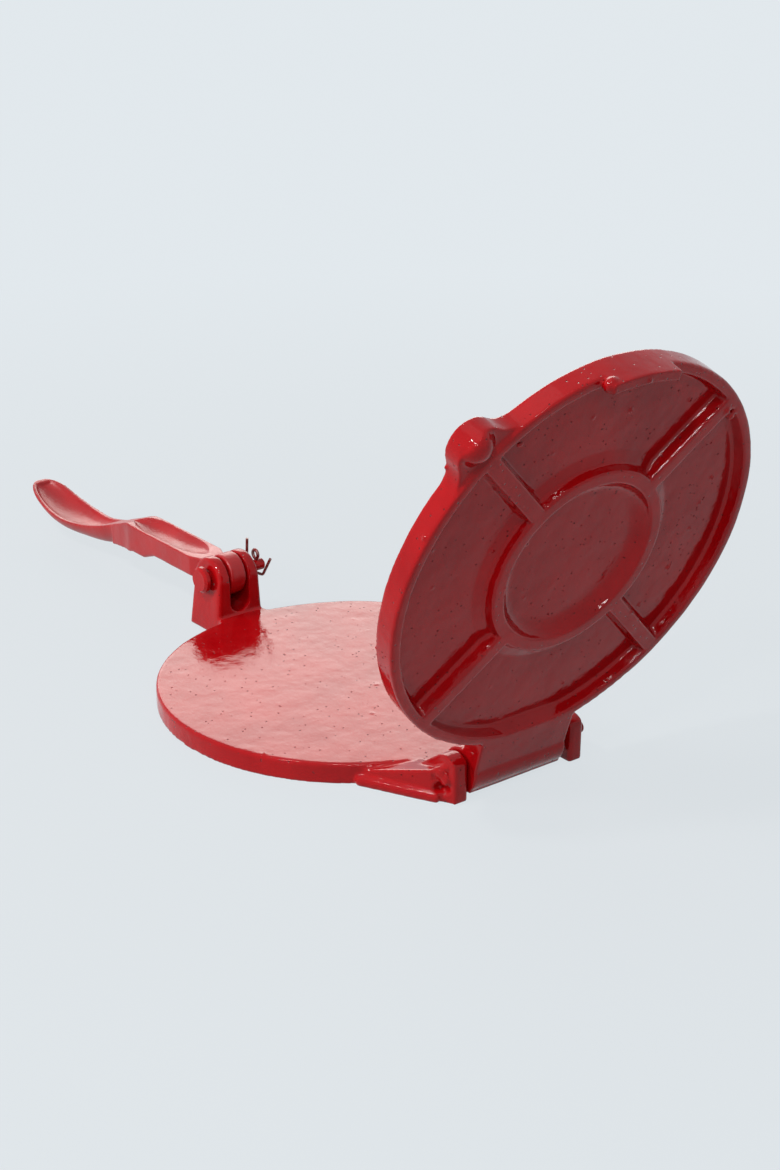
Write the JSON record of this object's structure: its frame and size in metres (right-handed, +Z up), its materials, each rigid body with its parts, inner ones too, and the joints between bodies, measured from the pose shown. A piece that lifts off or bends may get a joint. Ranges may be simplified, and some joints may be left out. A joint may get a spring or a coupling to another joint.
{
  "type": "tortilla press",
  "caption": "Round cast-iron tortilla press with hinged ribbed lid, lift knob and a dished lever that swings over the lid, enamelled red.",
  "frame": {"origin": "centre of the round base plate, on the surface it stands on", "axes": "+Z up, +Y toward the lid hinge, -Y along the lever, +X toward the lid's lift knob side"},
  "size_m": [0.19, 0.4964, 0.2094],
  "materials": {
    "red_enamel": "glossy red enamel over rough sand casting",
    "red_pin": "steel pin dipped with the casting in red enamel",
    "stained_wire": "thin red wash over steel wire"
  },
  "bodies": {
    "base": {"base_plate": "red_enamel", "hinge_pin": "red_pin", "lever_pin": "red_pin", "split_pin": "stained_wire"},
    "lid": {"lid_plate": "red_enamel"},
    "lever": {"lever": "red_enamel"}
  },
  "joints": [
    {"name": "lid_hinge", "type": "hinge", "parent": "base", "child": "lid", "pos_m": [0, 0.1122, 0.0121], "axis": [1, 0, 0], "range_deg": [0, 108]},
    {"name": "lever_pivot", "type": "hinge", "parent": "base", "child": "lever", "pos_m": [0, -0.108, 0.0292], "axis": [-1, 0, 0], "range_deg": [0, 163]}
  ]
}
